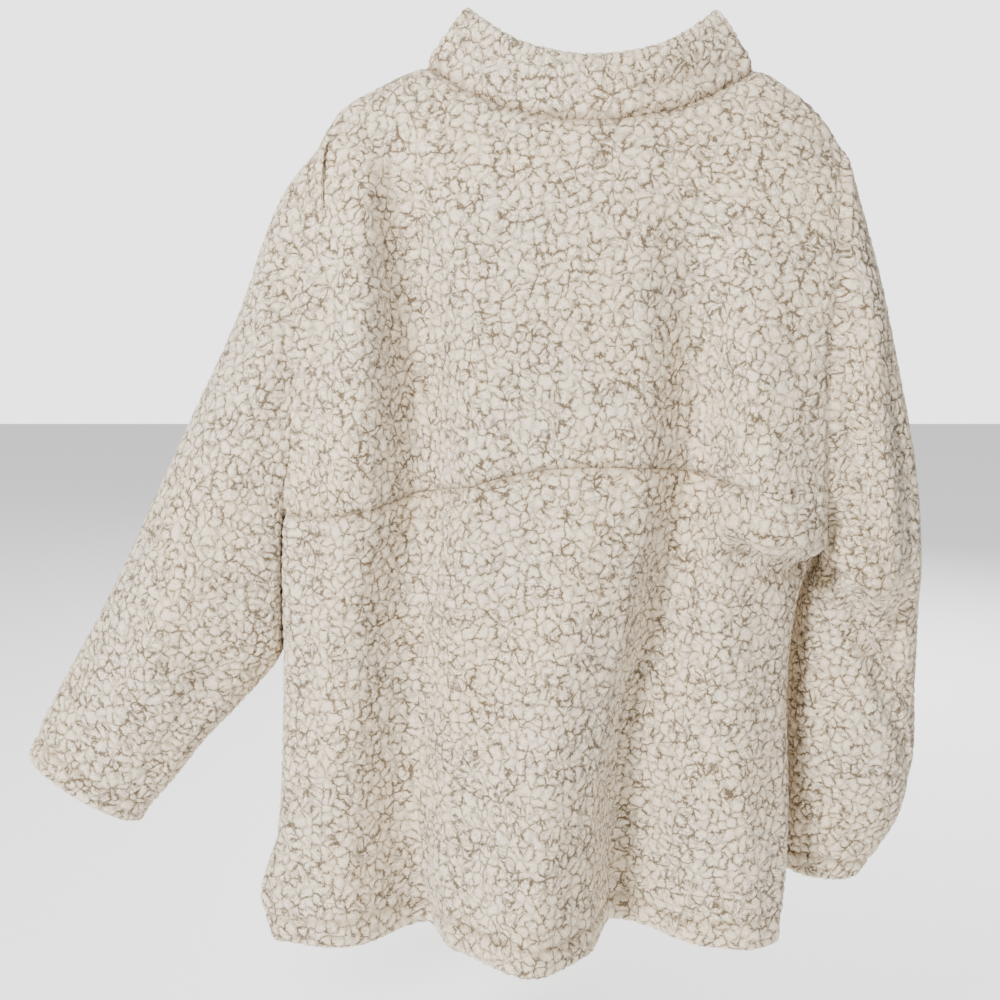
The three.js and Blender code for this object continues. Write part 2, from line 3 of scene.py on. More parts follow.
import bpy
import numpy as np
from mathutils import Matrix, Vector


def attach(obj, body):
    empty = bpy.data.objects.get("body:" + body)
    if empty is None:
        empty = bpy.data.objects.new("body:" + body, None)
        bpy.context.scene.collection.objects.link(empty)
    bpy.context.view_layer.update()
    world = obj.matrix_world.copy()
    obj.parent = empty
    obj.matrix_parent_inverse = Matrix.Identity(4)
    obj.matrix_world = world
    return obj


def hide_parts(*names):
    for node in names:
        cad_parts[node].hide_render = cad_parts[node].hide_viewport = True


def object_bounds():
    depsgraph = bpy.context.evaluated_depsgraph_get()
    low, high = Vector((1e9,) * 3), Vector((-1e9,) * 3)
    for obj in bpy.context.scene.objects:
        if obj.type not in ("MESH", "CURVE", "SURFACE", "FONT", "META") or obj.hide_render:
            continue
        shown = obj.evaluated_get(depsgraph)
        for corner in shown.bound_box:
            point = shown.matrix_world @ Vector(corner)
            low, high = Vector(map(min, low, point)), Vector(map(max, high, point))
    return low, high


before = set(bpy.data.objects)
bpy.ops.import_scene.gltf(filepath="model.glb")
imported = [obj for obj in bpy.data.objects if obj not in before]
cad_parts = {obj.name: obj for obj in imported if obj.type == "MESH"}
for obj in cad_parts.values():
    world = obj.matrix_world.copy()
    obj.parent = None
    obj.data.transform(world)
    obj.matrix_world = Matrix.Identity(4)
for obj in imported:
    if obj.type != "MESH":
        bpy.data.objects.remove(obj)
cad_box = [list(corner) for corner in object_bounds()]

# The view. The garment is seen from behind, by a camera a little to the left of its middle and
# below its shoulders, 1.3 m away and looking 9 degrees down.
CAMERA_DISTANCE = 1.30
CAMERA_PITCH = math.radians(9.0)
CAMERA_AIM = Vector((-0.0704, 0.0, -0.353))
SENSOR_WIDTH = 36.0
FOCAL_LENGTH = 58.5
camera_data = bpy.data.cameras.new("camera")
camera_data.sensor_width = SENSOR_WIDTH
camera_data.lens = FOCAL_LENGTH
camera = bpy.data.objects.new("camera", camera_data)
back_from_aim = Vector((0, -math.cos(CAMERA_PITCH), math.sin(CAMERA_PITCH)))
camera.location = CAMERA_AIM + CAMERA_DISTANCE * back_from_aim
camera.rotation_euler = (math.radians(90) - CAMERA_PITCH, 0, 0)
bpy.context.collection.objects.link(camera)
bpy.context.scene.camera = camera

# The studio: a plain pale floor below the hanging garment, a pale backdrop that lights it only a
# little, a soft lamp on the left, and others above and on the far side.
FLOOR_HALF = 6.0
FLOOR_DROP = 0.25
FLOOR_LOOKS = {
    "Base Color": (0.9, 0.9, 0.9, 1),
    "Roughness": 0.9,
    "Emission Color": (1, 1, 1, 1),
    "Emission Strength": 0.85,
}
BACKDROP_FILL = 0.1
BACKDROP_SEEN = 3.0
floor_z = cad_box[0][2] - FLOOR_DROP
floor_mesh = bpy.data.meshes.new("floor")
floor_corners = [
    (-FLOOR_HALF, -FLOOR_HALF, floor_z),
    (FLOOR_HALF, -FLOOR_HALF, floor_z),
    (FLOOR_HALF, FLOOR_HALF, floor_z),
    (-FLOOR_HALF, FLOOR_HALF, floor_z),
]
floor_mesh.from_pydata(floor_corners, [], [(0, 1, 2, 3)])
floor = bpy.data.objects.new("floor", floor_mesh)
bpy.context.collection.objects.link(floor)
floor_material = bpy.data.materials.new("pale_floor")
floor_material.use_nodes = True
for socket, value in FLOOR_LOOKS.items():
    floor_material.node_tree.nodes["Principled BSDF"].inputs[socket].default_value = value
floor_mesh.materials.append(floor_material)

world = bpy.data.worlds.new("studio")
world.use_nodes = True
backdrop = world.node_tree.nodes["Background"]
backdrop.inputs["Color"].default_value = (1.0, 1.0, 1.0, 1)
seen = world.node_tree.nodes.new("ShaderNodeLightPath").outputs["Is Camera Ray"]
brightness = world.node_tree.nodes.new("ShaderNodeMapRange")
brightness.inputs["To Min"].default_value = BACKDROP_FILL
brightness.inputs["To Max"].default_value = BACKDROP_SEEN
world.node_tree.links.new(seen, brightness.inputs["Value"])
world.node_tree.links.new(brightness.outputs["Result"], backdrop.inputs["Strength"])
bpy.context.scene.world = world


def softbox(name, place, aim, size, power):
    """A round lamp, size metres wide, that shines from place to aim."""
    lamp = bpy.data.lights.new(name, "AREA")
    lamp.shape = "DISK"
    lamp.size = size
    lamp.energy = power
    holder = bpy.data.objects.new(name, lamp)
    holder.location = place
    holder.rotation_euler = (Vector(aim) - Vector(place)).to_track_quat("-Z", "Y").to_euler()
    bpy.context.collection.objects.link(holder)


softbox("key", (-1.2, -1.75, 0.85), (0, 0, -0.35), 0.6, 128)
softbox("top", (0.9, -0.9, 1.3), (0.1, 0, -0.3), 1.0, 14)
softbox("far", (0.9, 2.0, 0.9), (0, 0, -0.35), 0.9, 120)

# The lower back: a panel of sherpa fleece, sewn on below the shoulder blades and hanging in soft
# folds that deepen to the hem. Its hem is turned up 20 mm and stitched.
BACK_COLUMNS = 200
SKIRT_ROWS = 92
GUSSET_ROWS = 56
FINE = 480
WALL = 7.0
HEM_Z = -705
UNDERARM_Z = (-477, -392)
SIDE_FADE = 4

YOKE_SEAM = np.array([  # share of the way across, height
    (0.0, -359),
    (0.15, -353),
    (0.3, -338),
    (0.48, -320),
    (0.66, -319),
    (0.85, -333),
    (1.0, -336),
])
LEFT_BACK_EDGE = np.array([  # height, x, y
    (-705, -257, -26),
    (-670, -265, -20),
    (-625, -252, -12),
    (-560, -247, -8),
    (-477, -245, 2),
    (-430, -243, -18),
    (-359, -239, -34),
    (-290, -223, -36),
    (-210, -210, -34),
    (-133, -204, -34),
    (-95, -204, -31),
    (-78, -204, -24),
    (-69, -203, -14),
])
RIGHT_BACK_EDGE = np.array([
    (-705, 155, -40),
    (-650, 161, -28),
    (-590, 163, -12),
    (-500, 160, -8),
    (-430, 168, 2),
    (-392, 182, 6),
    (-370, 182, -38),
    (-336, 180, -58),
    (-250, 186, -60),
    (-160, 192, -50),
    (-112, 195, -38),
    (-92, 196, -26),
    (-83, 196, -14),
])
BACK_FORM = np.array([  # height, y of the middle, squareness of the sides
    (-705, -58, 0.5),
    (-560, -62, 0.55),
    (-440, -64, 0.6),
    (-340, -66, 0.8),
])
BACK_FOLDS = [  # for each fold: height, x, width to the left, width to the right, push inwards
    np.array([  # the left valley
        (-705, -131, 60, 22, 50),
        (-620, -141, 55, 30, 36),
        (-520, -140, 50, 38, 33),
        (-430, -138, 46, 40, 31),
        (-340, -130, 42, 40, 38),
        (-230, -132, 40, 44, 38),
        (-155, -138, 34, 42, 28),
        (-66, -154, 24, 30, 4),
    ]),
    np.array([  # the tube in the middle
        (-705, -46, 74, 68, -54),
        (-640, -44, 72, 66, -44),
        (-540, -34, 70, 64, -32),
        (-430, -18, 62, 60, -17),
        (-335, -5, 55, 55, -5),
        (-250, 0, 60, 60, 0),
    ]),
    np.array([  # the right valley
        (-705, 24, 24, 76, 57),
        (-613, 26, 26, 66, 44),
        (-533, 32, 28, 56, 34),
        (-466, 50, 34, 48, 38),
        (-401, 64, 38, 42, 36),
        (-330, 78, 46, 36, 34),
        (-220, 84, 54, 38, 27),
        (-118, 73, 44, 40, 5),
        (-66, 76, 40, 40, 0),
    ]),
    np.array([  # the pouch under the right arm
        (-402, 152, 30, 60, 0),
        (-391, 148, 36, 64, -8),
        (-378, 143, 38, 68, -24),
        (-360, 139, 38, 72, -29),
        (-318, 131, 38, 76, -25),
        (-214, 113, 44, 80, -13),
        (-120, 116, 50, 70, 0),
    ]),
    np.array([  # the ridge beside the left arm
        (-705, -212, 30, 34, -4),
        (-560, -205, 34, 34, -6),
        (-345, -192, 34, 34, -10),
        (-210, -180, 26, 30, -12),
        (-120, -178, 22, 26, -8),
        (-60, -172, 22, 26, 0),
    ]),
    np.array([  # the ridge right of the right valley
        (-705, 128, 34, 26, -8),
        (-600, 120, 40, 34, -10),
        (-480, 112, 36, 34, -7),
        (-400, 100, 30, 30, 0),
    ]),
]


def table_values(table, column, at):
    """Smooth values of one column of a table, at places along its first column."""
    at = np.clip(np.asarray(at, float), table[0, 0], table[-1, 0])
    keys, values = table[:, 0], table[:, column]
    ahead = np.minimum(np.arange(len(keys)) + 1, len(keys) - 1)
    behind = np.maximum(np.arange(len(keys)) - 1, 0)
    slopes = (values[ahead] - values[behind]) / (keys[ahead] - keys[behind])
    i = np.clip(np.searchsorted(keys, at, side="left") - 1, 0, len(keys) - 2)
    span = keys[i + 1] - keys[i]
    t = (at - keys[i]) / span
    early = values[i] * (1 + 2 * t) * (1 - t) ** 2 + slopes[i] * span * t * (1 - t) ** 2
    late = values[i + 1] * t * t * (3 - 2 * t) - slopes[i + 1] * span * t * t * (1 - t)
    return early + late


def edge_points(edge, z):
    """Points of a side edge at the given heights."""
    return np.stack([table_values(edge, 1, z), table_values(edge, 2, z), np.asarray(z, float)], axis=-1)


def fold_push(folds, x, z):
    """How far the folds push the cloth inwards at x and z."""
    push = np.zeros_like(x)
    for rows in folds:
        inside = (z >= rows[0, 0] - 1) & (z <= rows[-1, 0])
        away = x - table_values(rows, 1, z)
        width = np.where(away < 0, table_values(rows, 2, z), table_values(rows, 3, z))
        bell = 0.5 * (1 + np.cos(np.pi * np.clip(away / width, -1, 1)))
        push += np.where(inside, table_values(rows, 4, z) * bell, 0)
    return push


def spread(line, count):
    """Evenly spaced points along a fine line of points."""
    along = np.concatenate([[0], np.cumsum(np.linalg.norm(np.diff(line, axis=0), axis=1))])
    at = np.linspace(0, along[-1], count + 1)
    return np.stack([np.interp(at, along, line[:, k]) for k in range(3)], axis=1)


def low_row(panel, down):
    """A row of a panel: down is 0 at the yoke seam, 1 at the underarms and 2 at the hem."""
    angle = np.linspace(0, np.pi, FINE + 1)
    across = (1 - np.cos(angle)) / 2
    arm_z = UNDERARM_Z[0] + (UNDERARM_Z[1] - UNDERARM_Z[0]) * across**2 * (3 - 2 * across)
    if down <= 1:
        seam_z = table_values(YOKE_SEAM, 1, across)
        z = seam_z + (arm_z - seam_z) * down
    else:
        z = arm_z + (HEM_Z - arm_z) * (down - 1)
    left = edge_points(panel["left"] if down < 1 else LEFT_BACK_EDGE, z[0])
    right = edge_points(panel["right"] if down < 1 else RIGHT_BACK_EDGE, z[-1])
    x = left[0] + (right[0] - left[0]) * across
    base = left[1] + (right[1] - left[1]) * across
    bulge = np.sin(angle).clip(0) ** table_values(panel["form"], 2, z)
    middle = table_values(panel["form"], 1, z)
    folds = panel["inwards"] * fold_push(panel["folds"], x, z) * np.minimum(1, SIDE_FADE * np.sin(angle))
    return spread(np.stack([x, base + (middle - base) * bulge + folds, z], axis=1), panel["columns"])


back_panel = {
    "lower": "lower_back",
    "upper": "upper_back",
    "columns": BACK_COLUMNS,
    "left": LEFT_BACK_EDGE,
    "right": RIGHT_BACK_EDGE,
    "form": BACK_FORM,
    "folds": BACK_FOLDS,
    "inwards": 1,
}

# The upper back: the yoke and the back halves of both sleeves in one piece. It closes over the
# shoulders to a seam that lies a little behind their ridge.
SHOULDER_COLUMNS = 28
YOKE_ROWS = 120
CLOSING_POWER = 1.5
RISE_SHARE = 0.35
TOP_FADE = 3
SIDE_REACH = 7
SHOULDER_TURN = 1.35
LEFT_SHOULDER = np.array([(-203, -14, -69), (-193, -13, -50), (-162, -11, -31), (-128, -6, -15)], float)
RIGHT_SHOULDER = np.array([(126, -6, -17), (145, -8, -28), (172, -12, -50), (196, -14, -83)], float)
BACK_NECK = np.array([
    (-128, -6, -15),
    (-105, -20, -30),
    (-70, -36, -47),
    (-4, -49, -59),
    (64, -37, -49),
    (104, -19, -31),
    (126, -6, -17),
], float)


def curve_points(knots, at):
    """Centripetal curve through knots (first axis), at shares of the way along the knots."""
    knots = np.asarray(knots, float)
    count = len(knots) - 1
    result = []
    for share in np.atleast_1d(at):
        i = min(int(share * count), count - 1)
        t = share * count - i
        p1, p2 = knots[i], knots[i + 1]
        p0 = knots[i - 1] if i > 0 else 2 * p1 - p2
        p3 = knots[i + 2] if i + 2 <= count else 2 * p2 - p1
        d0, d1, d2 = (np.sqrt(np.maximum(np.linalg.norm(b - a, axis=-1, keepdims=True), 1e-4))
                      for a, b in ((p0, p1), (p1, p2), (p2, p3)))
        m1 = ((p1 - p0) / d0 - (p2 - p0) / (d0 + d1) + (p2 - p1) / d1) * d1
        m2 = ((p2 - p1) / d1 - (p3 - p1) / (d1 + d2) + (p3 - p2) / d2) * d1
        early = p1 * (1 + 2 * t) * (1 - t) ** 2 + m1 * t * (1 - t) ** 2
        result.append(early + p2 * t * t * (3 - 2 * t) - m2 * t * t * (1 - t))
    return np.array(result)


def top_row(panel):
    """The panel's top row: one shoulder, the neck and the other shoulder."""
    fine = np.linspace(0, 1, FINE + 1)
    left = spread(curve_points(LEFT_SHOULDER, fine), SHOULDER_COLUMNS)
    neck = spread(curve_points(panel["neck"], fine), panel["columns"] - 2 * SHOULDER_COLUMNS)
    right = spread(curve_points(RIGHT_SHOULDER, fine), SHOULDER_COLUMNS)
    return np.concatenate([left[:-1], neck, right[1:]])


def high_row(panel, seam_row, shoulder_row, up):
    """A row above the yoke seam: up is 0 at the seam and 1 at the shoulders."""
    rise = math.sin(up * SHOULDER_TURN) / math.sin(SHOULDER_TURN)
    closing = ((1 - math.cos(up * SHOULDER_TURN)) / (1 - math.cos(SHOULDER_TURN))) ** CLOSING_POWER
    fade_near = min(1, (1 - up) * TOP_FADE)
    share = np.arange(panel["columns"] + 1) / panel["columns"]
    side_shape = np.clip(1 - np.minimum(share, 1 - share) * SIDE_REACH, 0, 1) ** 2
    z = seam_row[:, 2] + (shoulder_row[:, 2] - seam_row[:, 2]) * rise
    x = seam_row[:, 0] + (shoulder_row[:, 0] - seam_row[:, 0]) * (closing + (rise - closing) * RISE_SHARE)
    seam_push = fold_push(panel["folds"], seam_row[:, 0], seam_row[:, 2])
    low_y = seam_row[:, 1] - panel["inwards"] * seam_push
    edge_y = np.where(share < 0.5, edge_points(panel["left"], z)[:, 1], edge_points(panel["right"], z)[:, 1])
    y = low_y + (shoulder_row[:, 1] - low_y) * closing
    y = y + panel["inwards"] * fold_push(panel["folds"], x, z) * fade_near
    row = np.stack([x, y + (edge_y - y) * side_shape / 2, z], axis=1)
    row[0] = edge_points(panel["left"], z[0])
    row[-1] = edge_points(panel["right"], z[-1])
    return row


back_panel["neck"] = BACK_NECK

# The fronts: cut as the backs are, with shallower folds. The photo doesn't show them, so they are
# plain. The neck seam dips lower in front.
FRONT_COLUMNS = 160
LEFT_FRONT_EDGE = np.array([
    (-477, -245, 2),
    (-430, -240, 30),
    (-340, -232, 46),
    (-220, -214, 44),
    (-130, -206, 30),
    (-95, -205, 16),
    (-78, -204, 0),
    (-69, -203, -14),
])
RIGHT_FRONT_EDGE = np.array([
    (-392, 182, 6),
    (-360, 184, 36),
    (-290, 186, 52),
    (-200, 190, 48),
    (-130, 194, 30),
    (-106, 195, 14),
    (-92, 196, -2),
    (-83, 196, -14),
])
FRONT_FORM = np.array([
    (-705, 84, 0.5),
    (-560, 86, 0.5),
    (-440, 86, 0.55),
    (-340, 84, 0.7),
])
FRONT_FOLDS = [
    np.array([
        (-705, -150, 40, 50, 42),
        (-560, -154, 40, 46, 26),
        (-400, -158, 36, 42, 18),
        (-230, -158, 30, 36, 12),
        (-110, -160, 26, 30, 2),
    ]),
    np.array([
        (-705, -22, 46, 52, 30),
        (-560, -16, 44, 50, 20),
        (-400, -10, 40, 46, 9),
        (-260, -6, 40, 46, 0),
    ]),
    np.array([
        (-705, 88, 48, 30, 36),
        (-560, 92, 44, 34, 24),
        (-400, 100, 40, 36, 16),
        (-230, 112, 36, 32, 12),
        (-110, 124, 30, 30, 2),
    ]),
]
FRONT_NECK = np.array([
    (-128, -6, -15),
    (-118, 26, -32),
    (-70, 66, -72),
    (-4, 80, -92),
    (64, 66, -74),
    (114, 26, -34),
    (126, -6, -17),
], float)
front_panel = {
    "lower": "lower_front",
    "upper": "upper_front",
    "columns": FRONT_COLUMNS,
    "left": LEFT_FRONT_EDGE,
    "right": RIGHT_FRONT_EDGE,
    "form": FRONT_FORM,
    "folds": FRONT_FOLDS,
    "neck": FRONT_NECK,
    "inwards": -1,
}

UNDERARM_ROW = SKIRT_ROWS
SEAM_ROW = UNDERARM_ROW + GUSSET_ROWS
TOP_ROW = SEAM_ROW + YOKE_ROWS

places = []
patches = {name: [] for name in ("lower_back", "upper_back", "lower_front", "upper_front", "collar")}
joins = {name: [] for name in patches}
sleeve_rings = []


def add_places(block):
    """Adds a block of points to the garment, and gives their numbers in the block's shape."""
    start = sum(len(part) for part in places)
    places.append(block.reshape(-1, 3))
    return start + np.arange(block.shape[0] * block.shape[1]).reshape(block.shape[:2])


def panel_grid(panel, partner=None):
    """Point numbers of a whole panel, hem to shoulders, sharing its side seams with its partner."""
    rows = [low_row(panel, 2 - i / SKIRT_ROWS) for i in range(SKIRT_ROWS)]
    rows += [low_row(panel, 1 - i / GUSSET_ROWS) for i in range(GUSSET_ROWS + 1)]
    shoulders = top_row(panel)
    rows += [high_row(panel, rows[SEAM_ROW], shoulders, i / YOKE_ROWS) for i in range(1, YOKE_ROWS)]
    rows.append(shoulders)
    grid = add_places(np.array(rows))
    if partner is not None:
        grid[: UNDERARM_ROW + 1, 0] = partner[: UNDERARM_ROW + 1, 0]
        grid[: UNDERARM_ROW + 1, -1] = partner[: UNDERARM_ROW + 1, -1]
        grid[TOP_ROW, : SHOULDER_COLUMNS + 1] = partner[TOP_ROW, : SHOULDER_COLUMNS + 1]
        grid[TOP_ROW, -SHOULDER_COLUMNS - 1:] = partner[TOP_ROW, -SHOULDER_COLUMNS - 1:]
        grid_faces = grid[:, ::-1]
    else:
        grid_faces = grid
    patches[panel["lower"]].append(grid_faces[: SEAM_ROW + 1])
    patches[panel["upper"]].append(grid_faces[SEAM_ROW:])
    return grid


back = panel_grid(back_panel)
front = panel_grid(front_panel, back)

# The sleeves: tubes that open out of the armholes. The left one is held out to the side, and the
# right one hangs, with the wide cloth of its upper half pouching over the bent forearm.
LEFT_SLEEVE = np.array([  # outer x, outer z, inner x, inner z, y of the edges, of the back, of the front
    (-238, -112, -250, -483, 0, -47, 48),
    (-276, -206, -266, -503, 4, -50, 54),
    (-314, -284, -289, -528, 6, -49, 56),
    (-352, -362, -312, -552, 8, -46, 56),
    (-387, -432, -334, -580, 8, -40, 52),
    (-418, -487, -351, -600, 8, -34, 47),
    (-442, -530, -360, -611, 8, -29, 43),
    (-457, -562, -366, -620, 8, -27, 42),
], float)
RIGHT_SLEEVE = np.array([
    (222, -167, 186, -395, 4, -70, 56),
    (241, -245, 187, -400, 8, -73, 62),
    (258, -322, 186, -406, 13, -72, 66),
    (267, -398, 182, -416, 18, -66, 70),
    (272, -455, 175, -440, 24, -20, 74),
    (273, -515, 170, -478, 27, -14, 74),
    (274, -573, 168, -532, 30, -14, 74),
    (266, -623, 168, -590, 36, -8, 78),
    (251, -655, 167, -640, 42, 2, 82),
    (236, -679, 167, -670, 46, 10, 82),
], float)

LEFT_SLEEVE_FOLDS = np.array([  # from, to, round at the start, round at the end, width, push
    (0.1, 0.75, 0.62, 0.5, 0.13, -7),
    (0.3, 0.8, 0.28, 0.26, 0.12, 6),
    (0.3, 0.95, 0.84, 0.8, 0.1, 4),
    (0.1, 0.8, -0.55, -0.45, 0.15, 7),
])
RIGHT_SLEEVE_FOLDS = np.array([
    (0.12, 0.62, 0.7, 0.66, 0.13, 11),
    (0.52, 0.76, 0.42, 0.95, 0.1, 8),
    (0.6, 0.98, 0.3, 0.35, 0.14, 5),
    (0.15, 0.7, -0.6, -0.45, 0.14, 9),
])
WIDE_STEPS = 60
NARROW_STEPS = 169
SLEEVE_SQUARE = 0.85
FOLD_FADE = 0.6


def sleeve_track(rings, armhole):
    """Lines that run along the sleeve, one from each point of the armhole, as knots."""
    around = len(armhole)
    angle = 2 * np.pi * np.arange(around) / around
    share = ((1 - np.cos(angle)) / 2)[None, :]
    reach = (np.abs(np.sin(angle)) ** SLEEVE_SQUARE)[None, :]
    outer_x, outer_z, inner_x, inner_z, edge, back_y, front_y = (rings[:, k][:, None] for k in range(7))
    far = np.where((angle <= np.pi)[None, :], back_y, front_y)
    x = inner_x + (outer_x - inner_x) * share
    z = inner_z + (outer_z - inner_z) * share
    y = edge + (far - edge) * reach
    return np.concatenate([armhole[None], np.stack([x, y, z], axis=-1)])


def sleeve_push(folds, along, around):
    """How far the sleeve's folds move its points along Y, at one place along it."""
    turn = 2 * np.arange(around) / around
    signed = np.where(turn <= 1, turn, turn - 2)
    push = np.zeros(around)
    for start, end, round_start, round_end, width, depth in folds:
        t = (along - start) / (end - start)
        if 0 < t < 1:
            away = signed - (round_start + (round_end - round_start) * t)
            bell = 0.5 * (1 + np.cos(np.pi * np.clip(away / width, -1, 1)))
            push += depth * math.sin(math.pi * t) ** FOLD_FADE * bell
    return push * np.where(turn <= 1, 1, -1)


def add_sleeve(rings, folds, column, outwards):
    """A sleeve from its armhole, which is one side column of the back and of the front."""
    armhole = np.concatenate([back[UNDERARM_ROW:, column], front[TOP_ROW - 1:UNDERARM_ROW:-1, column]])
    knots = sleeve_track(rings, np.concatenate(places)[armhole])
    around = len(armhole)
    wide = [armhole]
    narrow = []
    total = WIDE_STEPS + NARROW_STEPS
    for step in range(1, total + 1):
        along = step / total
        ring = curve_points(knots, [along])[0]
        ring[:, 1] += sleeve_push(folds, along, around)
        if step <= WIDE_STEPS:
            wide.append(add_places(ring[None])[0])
        else:
            narrow.append(add_places(ring[::2][None])[0])
    half = around // 2
    for piece, cut_wide, cut_narrow in (
        ("upper_back", slice(0, half + 1), slice(0, half // 2 + 1)),
        ("upper_front", slice(half, around + 1), slice(half // 2, half + 1)),
    ):
        closed_wide = np.array([np.append(ring, ring[0])[cut_wide] for ring in wide])
        closed_narrow = np.array([np.append(ring, ring[0])[cut_narrow] for ring in narrow])
        patches[piece].append(closed_wide[::-outwards])
        patches[piece].append(closed_narrow[::-outwards])
        joins[piece].append((closed_wide[-1], closed_narrow[0], outwards))
    sleeve_rings.append((wide, narrow))


add_sleeve(LEFT_SLEEVE, LEFT_SLEEVE_FOLDS, 0, -1)
add_sleeve(RIGHT_SLEEVE, RIGHT_SLEEVE_FOLDS, -1, 1)

# The collar: a doubled band that stands on the neck seam and leans inwards to its top edge.
COLLAR_ROWS = 24
COLLAR_WALL = 10.0
SIDE_HEIGHT = 40
BACK_HEIGHT = 46
FRONT_HEIGHT = 50
COLLAR_LEAN = 0.78
HALF_NECK = 128
COLLAR_SIDE_Y = -6
COLLAR_FULLNESS = 0.7
COLLAR_BELLY = 3
BACK_SHIFT = 8
FRONT_SHIFT = -16

neck = np.concatenate([
    back[TOP_ROW, SHOULDER_COLUMNS:BACK_COLUMNS - SHOULDER_COLUMNS + 1],
    front[TOP_ROW, SHOULDER_COLUMNS:FRONT_COLUMNS - SHOULDER_COLUMNS + 1][::-1][1:],
])
foot = np.concatenate(places)[neck[:-1]]
at_back = foot[:, 1] < COLLAR_SIDE_Y
middle = np.clip(1 - np.abs(foot[:, 0]) / HALF_NECK, 0, 1) ** COLLAR_FULLNESS
collar_rows = [neck]
for row in range(1, COLLAR_ROWS + 1):
    up = row / COLLAR_ROWS
    height = SIDE_HEIGHT + (np.where(at_back, BACK_HEIGHT, FRONT_HEIGHT) - SIDE_HEIGHT) * middle
    lean = np.where(at_back, BACK_SHIFT, FRONT_SHIFT) * middle * up
    belly = COLLAR_BELLY * math.sin(math.pi * up) * np.where(at_back, -1, 1) * middle
    ring = np.stack([
        foot[:, 0] * (1 + (COLLAR_LEAN - 1) * up),
        foot[:, 1] + lean + belly,
        foot[:, 2] + height * up,
    ], axis=1)
    numbers = add_places(ring[None])[0]
    collar_rows.append(np.append(numbers, numbers[0]))
collar_grid = np.array(collar_rows)
patches["collar"].append(collar_grid)

# The garment's outer face as one surface, so that the pieces meet without a step: its points and
# its outward directions. The hem, the cuffs and the collar's top then turn inwards over the wall.
EVENING_ROUNDS = 3
EVENING_SHARE = 0.3
points = np.concatenate(places)


def grid_quads(grid):
    """The four corners of each face of a grid of point numbers."""
    return np.stack([grid[:-1, :-1], grid[:-1, 1:], grid[1:, 1:], grid[1:, :-1]], axis=-1).reshape(-1, 4)


def join_triangles(wide, narrow, outwards):
    """The faces between a row of points and one with half as many."""
    triangles = np.concatenate([
        np.stack([wide[:-2:2], wide[1:-1:2], narrow[:-1]], axis=-1),
        np.stack([wide[1:-1:2], narrow[1:], narrow[:-1]], axis=-1),
        np.stack([wide[1:-1:2], wide[2::2], narrow[1:]], axis=-1),
    ])
    return triangles if outwards < 0 else triangles[:, ::-1]


all_quads = np.concatenate([grid_quads(grid) for name in patches for grid in patches[name]])
all_triangles = np.concatenate([join_triangles(*join) for name in joins for join in joins[name]])
outward = np.zeros_like(points)
quad_across = np.cross(
    points[all_quads[:, 2]] - points[all_quads[:, 0]],
    points[all_quads[:, 3]] - points[all_quads[:, 1]],
)
three_across = np.cross(
    points[all_triangles[:, 1]] - points[all_triangles[:, 0]],
    points[all_triangles[:, 2]] - points[all_triangles[:, 0]],
)
for corner in range(4):
    np.add.at(outward, all_quads[:, corner], quad_across)
for corner in range(3):
    np.add.at(outward, all_triangles[:, corner], three_across)
outward /= np.maximum(np.linalg.norm(outward, axis=1, keepdims=True), 1e-9)
for _ in range(EVENING_ROUNDS):
    evened = outward.copy()
    for corner in range(4):
        for other in range(4):
            np.add.at(evened, all_quads[:, corner], EVENING_SHARE * outward[all_quads[:, other]])
    outward = evened / np.linalg.norm(evened, axis=1, keepdims=True)


# Where each point lies on the flat cloth: each piece is laid out flat, as it was cut, with its
# width along X and its length downwards. The collar is a straight band.
INNER_STEP = 4
UNWRAP_ROUNDS = 15
PIECE_SPACING = 2000
MM = 0.001


def refined(coarse, rows, columns):
    """Values on a coarse grid, spread evenly over a grid of the given size."""
    at_row = np.linspace(0, coarse.shape[0] - 1, rows)
    at_column = np.linspace(0, coarse.shape[1] - 1, columns)
    row = np.minimum(at_row.astype(int), coarse.shape[0] - 2)
    column = np.minimum(at_column.astype(int), coarse.shape[1] - 2)
    down = (at_row - row)[:, None, None]
    along = (at_column - column)[None, :, None]
    upper = coarse[row][:, column] * (1 - along) + coarse[row][:, column + 1] * along
    lower = coarse[row + 1][:, column] * (1 - along) + coarse[row + 1][:, column + 1] * along
    return upper * (1 - down) + lower * down


